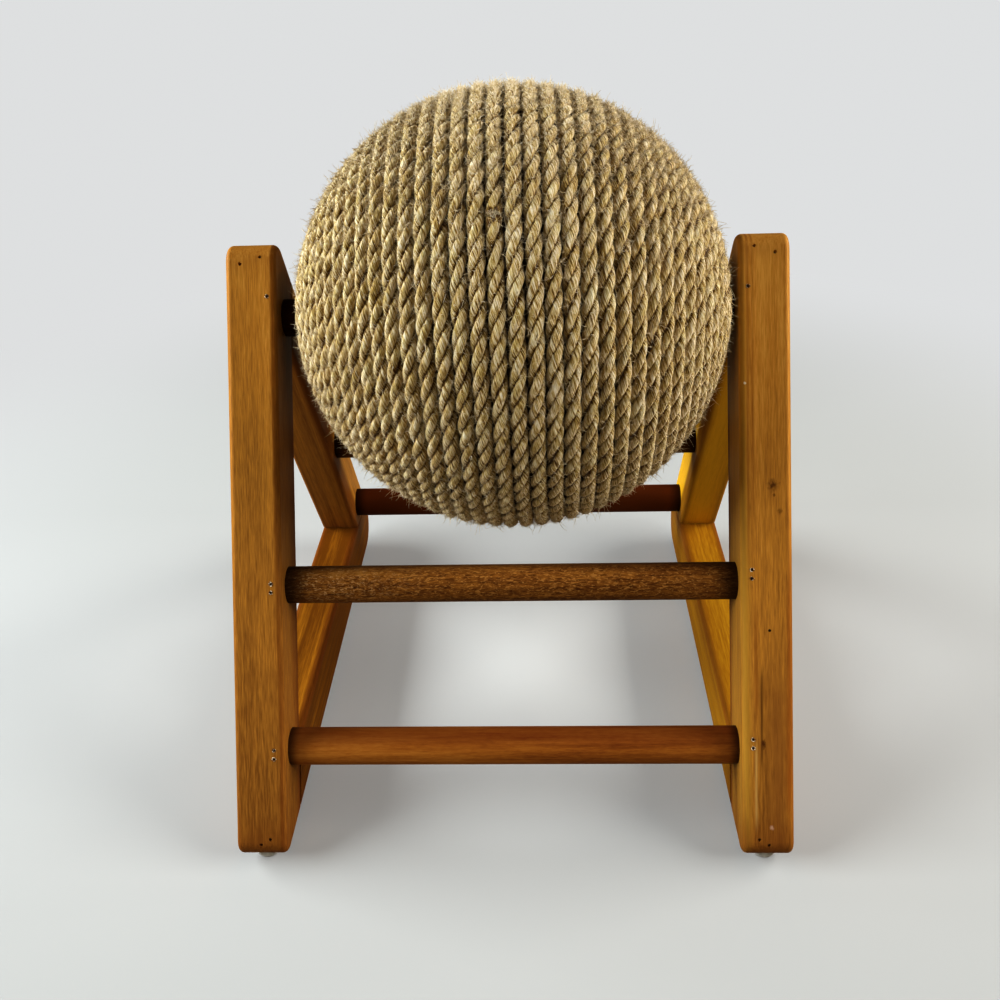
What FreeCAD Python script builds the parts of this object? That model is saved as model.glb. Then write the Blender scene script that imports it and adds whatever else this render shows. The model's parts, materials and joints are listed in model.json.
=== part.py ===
import FreeCAD, Part
import math
import os
import Sketcher

from FreeCAD import Placement, Rotation, Vector

# A cat scratching ball: a rope-wound ball that spins on a wooden axle between two triangular side frames,
# which four round rungs hold apart. +X runs along the axle to the right, +Y to the back, +Z up.
# The origin is on the floor, below the middle of the object.

doc = FreeCAD.newDocument("CatScratchingBall")

# Driving dimensions in millimetres, and in degrees where the meaning says so
dimensions = [
    ("base_length", 337, "floor line of a side frame from toe corner to heel corner, before rounding"),
    ("base_angle", 60, "degrees between the floor and each leg"),
    ("bar_width", 35, "bars, measured in the plane of the side frame"),
    ("bar_thickness", 26.5, "bars, measured across the object"),
    ("edge_radius", 3, "rounding along the bars"),
    ("toe_radius", 7.5, "rounding of the front corner of a side frame"),
    ("apex_radius", 10, "rounding of the top corner of a side frame"),
    ("heel_radius", 20, "rounding of the rear corner of a side frame"),
    ("ball_diameter", 231, "ball, over the rope"),
    ("left_gap", 8, "room between the ball and the left side frame"),
    ("right_gap", 1, "room between the ball and the right side frame"),
    ("axle_drop", 44, "axle below the apex corner, along the front leg"),
    ("axle_diameter", 20, "axle"),
    ("axle_cover", 4, "wood behind the axle in the front leg"),
    ("rung_diameter", 20, "rungs"),
    ("tenon_length", 10.5, "reach of the rungs and the axle into the bars"),
    ("tenon_chamfer", 0.8, "chamfer at the ends of the rungs and the axle"),
    ("socket_fit", 0.05, "radial room of a tenon in its socket"),
    ("socket_room", 0.5, "room behind the end of a tenon"),
    ("upper_rung_gap", 19.6, "room between the ball and the two upper rungs"),
    ("front_lower_rise", 59.8, "lower front rung above the toe corner, along the front leg"),
    ("rear_lower_rise", 68.5, "lower rear rung above the heel corner, along the rear leg"),
    ("brad_diameter", 1.6, "brads and pins"),
    ("brad_length", 55, "brads of the bar joints"),
    ("pin_length", 24, "pins through the rungs and the axle"),
    ("brad_sink", 1.2, "depth of a brad head below the wood"),
    ("brad_fit", 0.05, "radial room of a brad in its hole"),
    ("brad_room", 0.3, "room behind the end of a brad"),
    ("apex_brad_drop", 17, "apex brads below the apex corner, along the front leg"),
    ("apex_brad_spread", 10.5, "distance between the two apex brads"),
    ("apex_brad_step", 3.6, "inner apex brad above the outer one, along the front leg"),
    ("toe_brad_rise", 13, "toe brads above the toe corner, along the front leg"),
    ("toe_brad_step", 3, "inner toe brad above the outer one, along the front leg"),
    ("toe_brad_inset", 8.3, "first toe brad from the inner face of the bar"),
    ("toe_brad_spread", 5, "distance between the two toe brads"),
    ("heel_brad_setback", 44, "heel brads in front of the heel corner"),
    ("heel_brad_inset", 5.5, "first heel brad from the outer face of the bar"),
    ("heel_brad_spread", 6, "distance between the two heel brads"),
    ("pin_inset", 5.5, "pins from the inner face of the bar"),
    ("pin_spread", 4.6, "distance between the two pins of a rung end"),
    ("right_pin_rise", 5, "rung pins of the right side frame above those of the left, along the legs"),
    ("axle_pin_inset", 4.6, "axle pins from the inner face of the bar"),
    ("axle_pin_rise", 8, "axle pins above the axle, along the front leg"),
    ("pad_diameter", 13, "foot pads"),
    ("pad_height", 4.5, "foot pads"),
    ("pad_edge", 1.2, "rounding of the lower edge of a foot pad"),
    ("toe_pad_setback", 16, "front pads behind the toe corner"),
    ("heel_pad_setback", 52, "rear pads in front of the heel corner"),
    ("nail_head", 5, "diameter of a pad nail's head"),
    ("nail_head_height", 1.2, "head of a pad nail"),
    ("nail_shank", 1.8, "diameter of a pad nail's shank"),
    ("nail_reach", 7.5, "shank of a pad nail in the wood"),
    ("rope_diameter", 7.6, "rope"),
    ("turn_gap", 0.55, "gap between neighbouring turns of the rope"),
    ("lead_in_width", 1.6, "extra width of the first and the last turn"),
    ("bend_radius", 8, "bend of the rope where it dives into the core"),
    ("splice_offset", -4.8, "rope splice from the middle of the ball, along the axle"),
    ("splice_angle", 138, "degrees, rope splice about the axle, from the back over the top"),
    ("splice_gap", 0.9, "gap between the two rope ends at the splice"),
    ("rope_seat", 0.15, "glue between rope and core"),
    ("core_wall", 4, "wall of the core halves"),
    ("lip_length", 4, "lip of the right core half inside the left one"),
    ("lip_thickness", 1.9, "lip of the right core half"),
    ("lip_fit", 0.12, "room round the lip"),
    ("bush_wall", 2.4, "sleeve of the hub bushes"),
    ("bush_clearance", 0.08, "radial running clearance of the bushes on the axle"),
    ("bush_fit", 0.05, "radial room of a bush in its core half"),
    ("flange_rim", 3.6, "flange of a hub bush beyond its sleeve"),
    ("flange_height", 2.5, "flange of a hub bush"),
    ("flange_gap", 0.6, "gap between flange and rope"),
    ("flange_seat", 1.2, "flat on the core beyond the flange"),
    ("tuck_clearance", 0.4, "radial room of the rope's bend in its hole"),
    ("tuck_room", 0.3, "room behind the rope end"),
    ("boss_wall", 2.5, "boss round the hole for the rope end"),
]

sheet = doc.addObject("Spreadsheet::Sheet", "Dims")
for row, (alias, value, meaning) in enumerate(dimensions, 1):
    sheet.set(f"A{row}", alias)
    sheet.set(f"B{row}", str(value))
    sheet.set(f"C{row}", meaning)
    sheet.setAlias(f"B{row}", alias)
doc.recompute()

# Sizes and places that follow from the driving dimensions. In the plane of a side frame, y runs back from
# the toe corner and z runs up from the underside of the bars.
derived = [
    ("lean_sin", "cos(Dims.base_angle)"),
    ("lean_cos", "sin(Dims.base_angle)"),
    ("lean_tan", "Layout.lean_sin / Layout.lean_cos"),
    ("corner_tan", "tan(Dims.base_angle / 2)"),
    ("leg_length", "Dims.base_length / 2 / Layout.lean_sin"),
    ("apex_height", "Layout.leg_length * Layout.lean_cos"),
    ("bar_slant", "Dims.bar_width / Layout.lean_cos"),
    ("bar_skew", "Dims.bar_width * Layout.lean_tan"),
    ("heel_round", "min(Dims.heel_radius; (Layout.bar_slant - Dims.edge_radius) * Layout.corner_tan)"),
    ("toe_end", "Dims.toe_radius * (1 / Layout.corner_tan - 1)"),
    ("heel_end", "Dims.base_length - Layout.heel_round * (1 / Layout.corner_tan - 1)"),
    ("mid_depth", "(Layout.toe_end + Layout.heel_end) / 2"),
    ("ball_radius", "Dims.ball_diameter / 2"),
    ("ball_x", "(Dims.left_gap - Dims.right_gap) / 2"),
    ("inner_x", "(Dims.ball_diameter + Dims.left_gap + Dims.right_gap) / 2"),
    ("middle_x", "Layout.inner_x + Dims.bar_thickness / 2"),
    ("outer_x", "Layout.inner_x + Dims.bar_thickness"),
    ("tenon_end", "Layout.inner_x + Dims.tenon_length"),
    ("axle_inset", "Dims.bar_width - Dims.axle_cover - Dims.axle_diameter / 2"),
    ("axle_rise", "Layout.leg_length - Dims.axle_drop"),
    ("axle_y", "Layout.axle_rise * Layout.lean_sin + Layout.axle_inset * Layout.lean_cos"),
    ("axle_z", "Layout.axle_rise * Layout.lean_cos - Layout.axle_inset * Layout.lean_sin"),
    ("axle_back", "Dims.base_length - Layout.axle_y"),
    ("axle_rear_rise", "Layout.axle_back * Layout.lean_sin + Layout.axle_z * Layout.lean_cos"),
    ("axle_rear_inset", "Layout.axle_back * Layout.lean_cos - Layout.axle_z * Layout.lean_sin"),
    ("rung_inset", "Dims.bar_width / 2"),
    ("rung_distance", "Layout.ball_radius + Dims.upper_rung_gap + Dims.rung_diameter / 2"),
    ("front_upper_rise", "Layout.axle_rise - sqrt(Layout.rung_distance ^ 2"
                         " - (Layout.axle_inset - Layout.rung_inset) ^ 2)"),
    ("rear_upper_rise", "Layout.axle_rear_rise - sqrt(Layout.rung_distance ^ 2"
                        " - (Layout.axle_rear_inset - Layout.rung_inset) ^ 2)"),
    ("rope_radius", "Dims.rope_diameter / 2"),
    ("rope_line", "Layout.ball_radius - Layout.rope_radius"),
    ("core_radius", "Layout.rope_line - Layout.rope_radius - Dims.rope_seat"),
    ("core_inside", "Layout.core_radius - Dims.core_wall"),
    ("lip_radius", "Layout.core_inside + Dims.lip_thickness"),
    ("bush_bore", "Dims.axle_diameter / 2 + Dims.bush_clearance"),
    ("bush_radius", "Layout.bush_bore + Dims.bush_wall"),
    ("flange_radius", "Layout.bush_radius + Dims.flange_rim"),
    ("flat_radius", "Layout.flange_radius + Dims.flange_seat"),
    ("pole_flat", "sqrt(Layout.core_radius ^ 2 - Layout.flat_radius ^ 2)"),
    ("pitch", "Dims.rope_diameter + Dims.turn_gap"),
    ("first_turn", "Layout.flange_radius + Dims.flange_gap + Layout.rope_radius"),
    ("first_x", "sqrt(Layout.rope_line ^ 2 - Layout.first_turn ^ 2)"),
    ("first_angle", "asin(Layout.first_turn / Layout.rope_line) / 1 deg"),
    ("splice_polar", "acos(-Dims.splice_offset / Layout.rope_line) / 1 deg"),
    ("turns", "((180 - 2 * Layout.first_angle) * pi / 180 * Layout.rope_line"
              " - 2 * Dims.lead_in_width) / Layout.pitch"),
    ("splice_turn", "((Layout.splice_polar - Layout.first_angle) * pi / 180 * Layout.rope_line"
                    " - Dims.lead_in_width) / Layout.pitch"),
    ("first_slope", "atan((Layout.pitch + 2 * Dims.lead_in_width) / (2 * pi * Layout.first_turn)) / 1 deg"),
    ("tuck_out", "Layout.first_turn"
                 " - Dims.bend_radius * sin(Layout.first_slope) * cos(Layout.first_angle)"),
    ("tuck_shift", "(Dims.bend_radius - Layout.rope_radius) / 2"),
    ("tuck_aside", "Dims.bend_radius * cos(Layout.first_slope) - Layout.tuck_shift"),
    ("tuck_radius", "sqrt(Layout.tuck_out ^ 2 + Layout.tuck_aside ^ 2)"),
    ("tuck_lag", "atan(Layout.tuck_aside / Layout.tuck_out) / 1 deg"),
    ("left_tuck_angle", "Dims.splice_angle - 360 * Layout.splice_turn - Layout.tuck_lag"),
    ("right_tuck_angle", "Dims.splice_angle + 360 * (Layout.turns - Layout.splice_turn) + Layout.tuck_lag"),
    ("tuck_hole", "(Dims.bend_radius + Layout.rope_radius) / 2 + Dims.tuck_clearance"),
    ("tuck_floor", "Layout.first_x - Dims.bend_radius - Dims.rope_diameter - Dims.tuck_room"),
    ("boss_radius", "Layout.tuck_radius + Layout.tuck_hole + Dims.boss_wall"),
    ("boss_end", "Layout.tuck_floor - Dims.boss_wall"),
]

layout = doc.addObject("App::VarSet", "Layout")
for name, formula in derived:
    layout.addProperty("App::PropertyFloat", name, "Layout")
    layout.setExpression(name, formula)
    doc.recompute()

nodes = []
# Distance below which two points count as one
tolerance = 1e-6


def number(formula):
    return float(layout.evalExpression(str(formula)))


def add_node(node, label):
    node.Label = label
    nodes.append(node)
    return node


# Binds the place of a piece. x is absolute, y and z are in the plane of a side frame.
def bind_place(piece, x, y, z):
    piece.setExpression("Placement.Base.x", f"{x}")
    piece.setExpression("Placement.Base.y", f"{y} - Layout.mid_depth")
    piece.setExpression("Placement.Base.z", f"{z} + Dims.pad_height")


# Point of a side frame at a rise along the front or rear leg's outer face and an inset behind that face
def front_point(rise, inset):
    y = f"(({rise}) * Layout.lean_sin + ({inset}) * Layout.lean_cos)"
    z = f"(({rise}) * Layout.lean_cos - ({inset}) * Layout.lean_sin)"
    return y, z


def rear_point(rise, inset):
    y, z = front_point(rise, inset)
    return f"(Dims.base_length - {y})", z


def new_body(name):
    return doc.addObject("PartDesign::Body", name)


def new_sketch(body, plane, name):
    sketch = body.newObject("Sketcher::SketchObject", f"{body.Name}_{name}")
    support = [feature for feature in body.Origin.OriginFeatures if feature.Role == plane]
    sketch.AttachmentSupport = [(support[0], "")]
    sketch.MapMode = "FlatFace"
    return sketch


def bind_constraint(sketch, constraint, formula):
    index = sketch.addConstraint(constraint)
    sketch.setExpression(f"Constraints[{index}]", str(formula))


# Closed outline through corners given as formulas. A side listed in arcs is an arc about the sketch origin,
# with its radius as a formula; a corner on an arc leaves out the coordinate that the arc gives.
def draw_outline(sketch, corners, arcs=None):
    arcs = arcs or {}
    count = len(corners)
    points = []
    for index, (u, v) in enumerate(corners):
        radius = arcs.get(index, arcs.get((index - 1) % count))
        if u is None:
            height = number(v)
            sign = -1 if index in left_corners(corners) else 1
            points.append(Vector(sign * math.sqrt(number(radius) ** 2 - height ** 2), height, 0))
        elif v is None:
            points.append(Vector(number(u), math.sqrt(number(radius) ** 2 - number(u) ** 2), 0))
        else:
            points.append(Vector(number(u), number(v), 0))
    ends = []
    for index in range(count):
        start, end = points[index], points[(index + 1) % count]
        ends.append((1, 2))
        if index in arcs:
            circle = Part.Circle(Vector(), Vector(0, 0, 1), number(arcs[index]))
            angles = [math.atan2(start.y, start.x), math.atan2(end.y, end.x)]
            sketch.addGeometry(Part.ArcOfCircle(circle, min(angles), max(angles)))
            if angles[0] > angles[1]:
                ends[index] = (2, 1)
        else:
            sketch.addGeometry(Part.LineSegment(start, end))
    for index in range(count):
        following = (index + 1) % count
        sketch.addConstraint(
            Sketcher.Constraint("Coincident", index, ends[index][1], following, ends[following][0]))
    for index, radius in arcs.items():
        sketch.addConstraint(Sketcher.Constraint("Coincident", index, 3, -1, 1))
        bind_constraint(sketch, Sketcher.Constraint("Radius", index, number(radius)), radius)
    for index, (u, v) in enumerate(corners):
        start = ends[index][0]
        point = points[index]
        if u is not None:
            bind_constraint(sketch, Sketcher.Constraint("DistanceX", -1, 1, index, start, point.x), u)
        if v is not None:
            bind_constraint(sketch, Sketcher.Constraint("DistanceY", -1, 1, index, start, point.y), v)


# Corners whose left-out coordinate is negative, as on the left half of a mirrored outline
def left_corners(corners):
    known = [number(u) for u, v in corners if u is not None]
    if sum(known) > 0:
        return []
    return [index for index, (u, v) in enumerate(corners) if u is None]


def draw_circle(sketch, radius):
    sketch.addGeometry(Part.Circle(Vector(), Vector(0, 0, 1), number(radius)))
    sketch.addConstraint(Sketcher.Constraint("Coincident", 0, 3, -1, 1))
    bind_constraint(sketch, Sketcher.Constraint("Radius", 0, number(radius)), radius)


def pad(body, sketch, length, symmetric=False):
    feature = body.newObject("PartDesign::Pad", f"{body.Name}_pad")
    feature.Profile = sketch
    if symmetric:
        feature.SideType = "Symmetric"
    feature.setExpression("Length", length)
    doc.recompute()
    return feature


def revolve(body, sketch):
    feature = body.newObject("PartDesign::Revolution", f"{body.Name}_turned")
    feature.Profile = sketch
    feature.ReferenceAxis = (sketch, ["H_Axis"])
    feature.Angle = 360
    doc.recompute()
    return feature


# Rounds or chamfers the edges of a feature that the test picks
def dress(body, kind, base, size_name, size, picked):
    names = [f"Edge{n}" for n, edge in enumerate(base.Shape.Edges, 1) if picked(edge)]
    feature = body.newObject(f"PartDesign::{kind}", f"{base.Name}_{kind.lower()}")
    feature.Base = (base, names)
    feature.setExpression(size_name, size)
    doc.recompute()
    return feature


def edge_middle(edge):
    return edge.valueAt((edge.FirstParameter + edge.LastParameter) / 2)


# A piece with the holes of the listed tools, as the finished sub-part
def drill(blank, tools, label):
    tool = tools[0]
    if len(tools) > 1:
        tool = doc.addObject("Part::MultiFuse", f"{label}_holes")
        tool.Shapes = tools
    cut = doc.addObject("Part::Cut", label)
    cut.Base = blank
    cut.Tool = tool
    doc.recompute()
    if cut.Shape.Volume >= blank.Shape.Volume:
        raise RuntimeError(f"no hole was cut in {label}")
    return add_node(cut, label)


# Round rod along X, centred on the middle of the object
def rod_along_x(name, radius, end, y, z):
    rod = doc.addObject("Part::Cylinder", name)
    rod.Placement = Placement(Vector(), Rotation(Vector(0, 1, 0), 90))
    rod.setExpression("Radius", radius)
    rod.setExpression("Height", f"2 * ({end})")
    bind_place(rod, f"-({end})", y, z)
    return rod


# Round rod in a plane across X: it starts at an offset from a point and leans by an angle from +Z about X
def leaning_rod(name, radius, length, x, point, angle, offset):
    rod = doc.addObject("Part::Cylinder", name)
    rod.Placement = Placement(Vector(), Rotation(Vector(1, 0, 0), 1))
    rod.setExpression("Radius", radius)
    rod.setExpression("Height", length)
    rod.setExpression("Placement.Rotation.Angle", angle)
    y, z = point
    bind_place(rod, x, f"{y} - ({offset}) * sin({angle})", f"{z} + ({offset}) * cos({angle})")
    return rod


# A brad and its hole, driven from a point on the surface of the wood
def drive_brad(name, length, x, point, angle):
    brad = leaning_rod(name, "Dims.brad_diameter / 2", length, x, point, angle, "Dims.brad_sink")
    hole_length = f"Dims.brad_diameter + Dims.brad_sink + {length} + Dims.brad_room"
    hole_radius = "Dims.brad_diameter / 2 + Dims.brad_fit"
    hole = leaning_rod(f"{name}_hole", hole_radius, hole_length, x, point, angle, "-Dims.brad_diameter")
    return brad, hole


def group(pieces, label):
    compound = doc.addObject("Part::Compound", label)
    compound.Links = pieces
    return add_node(compound, label)


sides = (("left", -1), ("right", 1))
signs = ((1, -1), (2, 1))

# Rungs and axle, each with its sockets in both side frames
round_members = {
    "front_lower_rung": (front_point("Dims.front_lower_rise", "Layout.rung_inset"), "Dims.rung_diameter"),
    "front_upper_rung": (front_point("Layout.front_upper_rise", "Layout.rung_inset"), "Dims.rung_diameter"),
    "rear_lower_rung": (rear_point("Dims.rear_lower_rise", "Layout.rung_inset"), "Dims.rung_diameter"),
    "rear_upper_rung": (rear_point("Layout.rear_upper_rise", "Layout.rung_inset"), "Dims.rung_diameter"),
    "axle_dowel": (("Layout.axle_y", "Layout.axle_z"), "Dims.axle_diameter"),
}
sockets = {}
for name, ((y, z), diameter) in round_members.items():
    sockets[name] = rod_along_x(
        f"{name}_socket", f"{diameter} / 2 + Dims.socket_fit", "Layout.tenon_end + Dims.socket_room", y, z)

# Brads: the angles lean each one from +Z about X
into_front_leg = "(Dims.base_angle - 180)"
into_rear_leg = "(180 - Dims.base_angle)"
down_rear_leg = "(-90 - Dims.base_angle)"
along_rail = "(-90)"
upright = "(0)"

rung_pin_rises = {
    "front_lower_rung": (front_point, "Dims.front_lower_rise", into_front_leg),
    "front_upper_rung": (front_point, "Layout.front_upper_rise", into_front_leg),
    "rear_lower_rung": (rear_point, "Dims.rear_lower_rise", into_rear_leg),
    "rear_upper_rung": (rear_point, "Layout.rear_upper_rise", into_rear_leg),
}
pins = {name: [] for name in round_members}
pin_holes = {(name, side): [] for name in round_members for side, sign in sides}
for name, (point, rise, angle) in rung_pin_rises.items():
    for side, sign in sides:
        side_rise = f"{rise} + Dims.right_pin_rise" if side == "right" else rise
        for n, step in signs:
            place = point(f"{side_rise} + {step} * Dims.pin_spread / 2", "0")
            x = f"{sign} * (Layout.inner_x + Dims.pin_inset)"
            pin, hole = drive_brad(f"{side}_{name}_pin_{n}", "Dims.pin_length", x, place, angle)
            pins[name].append(pin)
            pin_holes[name, side].append(hole)
for side, sign in sides:
    place = front_point("Layout.axle_rise + Dims.axle_pin_rise", "0")
    x = f"{sign} * (Layout.inner_x + Dims.axle_pin_inset)"
    pin, hole = drive_brad(f"{side}_axle_pin", "Dims.pin_length", x, place, into_front_leg)
    pins["axle_dowel"].append(pin)
    pin_holes["axle_dowel", side].append(hole)

joint_brads = {"apex": [], "toe": [], "heel": []}
joint_holes = {(joint, side): [] for joint in joint_brads for side, sign in sides}
for side, sign in sides:
    for n, step in signs:
        apex_rise = f"Layout.leg_length - Dims.apex_brad_drop - {step} * Dims.apex_brad_step / 2"
        toe_rise = f"Dims.toe_brad_rise - {step} * Dims.toe_brad_step / 2"
        starts = {
            "apex": (f"Layout.middle_x + {step} * Dims.apex_brad_spread / 2",
                     front_point(apex_rise, "0"), down_rear_leg),
            "toe": (f"Layout.inner_x + Dims.toe_brad_inset + {n - 1} * Dims.toe_brad_spread",
                    front_point(toe_rise, "0"), along_rail),
            "heel": (f"Layout.outer_x - Dims.heel_brad_inset - {n - 1} * Dims.heel_brad_spread",
                     ("(Dims.base_length - Dims.heel_brad_setback)", "0"), upright),
        }
        for joint, (x, place, angle) in starts.items():
            name = f"{side}_{joint}_brad_{n}"
            brad, hole = drive_brad(name, "Dims.brad_length", f"{sign} * ({x})", place, angle)
            joint_brads[joint].append(brad)
            joint_holes[joint, side].append(hole)


# Foot pad. The head of its nail is let into the top of the pad, and the shank stands in the bar above.
def make_pad(label, x, y):
    body = new_body(f"{label}_blank")
    sketch = new_sketch(body, "XY_Plane", "outline")
    draw_circle(sketch, "Dims.pad_diameter / 2")
    disc = pad(body, sketch, "Dims.pad_height")
    dress(body, "Fillet", disc, "Radius", "Dims.pad_edge", lambda edge: edge.BoundBox.ZMax < tolerance)
    bind_place(body, x, y, "-Dims.pad_height")
    head_radius = "Dims.nail_head / 2"
    head_place = (y, "-Dims.nail_head_height")
    seat_radius = f"{head_radius} + Dims.brad_fit"
    seat = leaning_rod(
        f"{label}_nail_seat", seat_radius, "Dims.pad_height", x, head_place, upright, "0")
    head = leaning_rod(
        f"{label}_nail_head", head_radius, "Dims.nail_head_height", x, head_place, upright, "0")
    shank = leaning_rod(
        f"{label}_nail_shank", "Dims.nail_shank / 2", "Dims.nail_reach", x, (y, "0"), upright, "0")
    hole = leaning_rod(
        f"{label}_nail_hole", "Dims.nail_shank / 2 + Dims.brad_fit", "Dims.nail_reach + 2 * Dims.brad_room",
        x, (y, "-Dims.brad_room"), upright, "0")
    nail = doc.addObject("Part::Fuse", f"{label}_nail")
    nail.Base = head
    nail.Tool = shank
    drill(body, [seat], label)
    return nail, hole


pad_places = {"front": "Dims.toe_pad_setback", "rear": "(Dims.base_length - Dims.heel_pad_setback)"}
nails = []
nail_holes = {}
for end, y in pad_places.items():
    for side, sign in sides:
        nail, hole = make_pad(f"{end}_{side}_pad", f"{sign} * Layout.middle_x", y)
        nails.append(nail)
        nail_holes[end, side] = hole
group(nails, "pad_nails")

# Corners of the bars in the plane of a side frame
toe = ("0", "0")
apex = ("Dims.base_length / 2", "Layout.apex_height")
apex_rear = ("Dims.base_length / 2 + Layout.bar_slant / 2",
             "Layout.apex_height - Layout.bar_slant / 2 / Layout.lean_tan")
fork = ("Dims.base_length / 2", "(Dims.base_length / 2 - Layout.bar_slant) / Layout.lean_tan")
toe_rear = ("Layout.bar_slant", "0")
rail_front = ("Layout.bar_slant + Layout.bar_skew", "Dims.bar_width")
heel = ("Dims.base_length", "0")
heel_top = ("Dims.base_length - Layout.bar_skew", "Dims.bar_width")
seam = ("Dims.base_length - Layout.bar_slant - Layout.bar_skew", "Dims.bar_width")

# Each bar: its corners, the radii of its rounded corners, and the sides that butt against another bar
bars = {
    "front_leg": ([toe, toe_rear, apex_rear, apex],
                  {toe: "Dims.toe_radius", apex: "Dims.apex_radius"}, []),
    "rear_leg": ([seam, heel_top, apex_rear, fork], {},
                 [(seam, heel_top), (apex_rear, fork)]),
    "base_rail": ([toe_rear, heel, heel_top, rail_front],
                  {heel: "Layout.heel_round"}, [(rail_front, toe_rear)]),
}


def frame_point(corner):
    y, z = corner
    return Vector(0, number(y), number(z))


def at_corner(edge, corner):
    middle = edge_middle(edge)
    return math.hypot(middle.y - corner.y, middle.z - corner.z) < tolerance


def along_side(edge, start, end):
    middle = edge_middle(edge)
    run = end - start
    offset = Vector(0, middle.y, middle.z) - start
    return abs(run.y * offset.z - run.z * offset.y) / run.Length < tolerance


def make_bar(side, sign, kind, tools):
    corners, roundings, butts = bars[kind]
    body = new_body(f"{side}_{kind}_blank")
    sketch = new_sketch(body, "YZ_Plane", "outline")
    draw_outline(sketch, corners)
    last = pad(body, sketch, "Dims.bar_thickness", symmetric=True)
    for corner, radius in roundings.items():
        place = frame_point(corner)
        last = dress(body, "Fillet", last, "Radius", radius, lambda edge: at_corner(edge, place))
    face_x = number("Dims.bar_thickness / 2")
    butt_sides = [(frame_point(start), frame_point(end)) for start, end in butts]

    def long_edge(edge):
        in_face = edge.BoundBox.XLength < tolerance and abs(abs(edge_middle(edge).x) - face_x) < tolerance
        return in_face and not any(along_side(edge, start, end) for start, end in butt_sides)

    dress(body, "Fillet", last, "Radius", "Dims.edge_radius", long_edge)
    bind_place(body, f"{sign} * Layout.middle_x", "0", "0")
    return drill(body, tools, f"{side}_{kind}")


for side, sign in sides:
    front_members = ("front_lower_rung", "front_upper_rung", "axle_dowel")
    rear_members = ("rear_lower_rung", "rear_upper_rung")
    front_tools = [sockets[name] for name in front_members]
    front_tools += [hole for name in front_members for hole in pin_holes[name, side]]
    front_tools += joint_holes["apex", side] + joint_holes["toe", side] + [nail_holes["front", side]]
    rear_tools = [sockets[name] for name in rear_members]
    rear_tools += [hole for name in rear_members for hole in pin_holes[name, side]]
    rear_tools += joint_holes["apex", side] + joint_holes["heel", side]
    rail_tools = joint_holes["toe", side] + joint_holes["heel", side] + [nail_holes["rear", side]]
    make_bar(side, sign, "front_leg", front_tools)
    make_bar(side, sign, "rear_leg", rear_tools)
    make_bar(side, sign, "base_rail", rail_tools)

for name, ((y, z), diameter) in round_members.items():
    body = new_body(f"{name}_blank")
    sketch = new_sketch(body, "YZ_Plane", "section")
    draw_circle(sketch, f"{diameter} / 2")
    stick = pad(body, sketch, "2 * Layout.tenon_end", symmetric=True)
    dress(
        body, "Chamfer", stick, "Size", "Dims.tenon_chamfer",
        lambda edge: edge.BoundBox.XLength < tolerance)
    bind_place(body, "0", y, z)
    drill(body, pin_holes[name, "left"] + pin_holes[name, "right"], name)

group(joint_brads["apex"], "apex_brads")
group(joint_brads["toe"], "toe_brads")
group(joint_brads["heel"], "heel_brads")
group(pins["front_lower_rung"] + pins["front_upper_rung"], "front_rung_pins")
group(pins["rear_lower_rung"] + pins["rear_upper_rung"], "rear_rung_pins")
group(pins["axle_dowel"], "axle_pins")


# Hollow core of the ball: two moulded halves with a lapped lip, and a boss at each pole that holds the bush
# and takes in the rope's end
def make_core_half(side, sign):
    pole = [
        (None, "Layout.flat_radius"),
        (f"{sign} * Layout.pole_flat", "Layout.bush_radius + Dims.bush_fit"),
        (f"{sign} * Layout.boss_end", "Layout.bush_radius + Dims.bush_fit"),
        (f"{sign} * Layout.boss_end", "Layout.boss_radius"),
        (None, "Layout.boss_radius"),
    ]
    lip = [
        ("0", None),
        ("-Dims.lip_length", "Layout.core_inside"),
        ("-Dims.lip_length", "Layout.lip_radius"),
        ("0", "Layout.lip_radius"),
    ]
    recess = [
        ("-(Dims.lip_length + Dims.lip_fit)", None),
        ("-(Dims.lip_length + Dims.lip_fit)", "Layout.lip_radius + Dims.lip_fit"),
        ("0", "Layout.lip_radius + Dims.lip_fit"),
    ]
    corners = [("0", None)] + pole + (lip if sign > 0 else recess)
    body = new_body(f"{side}_core_blank")
    sketch = new_sketch(body, "XZ_Plane", "profile")
    draw_outline(sketch, corners, {0: "Layout.core_radius", 5: "Layout.core_inside"})
    revolve(body, sketch)
    bind_place(body, "Layout.ball_x", "Layout.axle_y", "Layout.axle_z")
    hole = doc.addObject("Part::Cylinder", f"{side}_tuck_hole")
    hole.Placement = Placement(Vector(), Rotation(Vector(0, 1, 0), sign * 90))
    hole.setExpression("Radius", "Layout.tuck_hole")
    hole.setExpression("Height", "Layout.ball_radius - Layout.tuck_floor")
    angle = f"Layout.{side}_tuck_angle"
    bind_place(hole, f"Layout.ball_x + {sign} * Layout.tuck_floor",
               f"Layout.axle_y + Layout.tuck_radius * cos({angle})",
               f"Layout.axle_z + Layout.tuck_radius * sin({angle})")
    return drill(body, [hole], f"{side}_core_half")


def make_bush(side, sign):
    flange_face = f"{sign} * (Layout.pole_flat + Dims.flange_height)"
    corners = [
        (f"{sign} * Layout.pole_flat", "Layout.bush_radius"),
        (f"{sign} * Layout.pole_flat", "Layout.flange_radius"),
        (flange_face, "Layout.flange_radius"),
        (flange_face, "Layout.bush_bore"),
        (f"{sign} * Layout.boss_end", "Layout.bush_bore"),
        (f"{sign} * Layout.boss_end", "Layout.bush_radius"),
    ]
    body = new_body(f"{side}_hub_bush")
    sketch = new_sketch(body, "XZ_Plane", "profile")
    draw_outline(sketch, corners)
    revolve(body, sketch)
    bind_place(body, "Layout.ball_x", "Layout.axle_y", "Layout.axle_z")
    add_node(body, f"{side}_hub_bush")


for side, sign in sides:
    make_core_half(side, sign)
    make_bush(side, sign)


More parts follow.
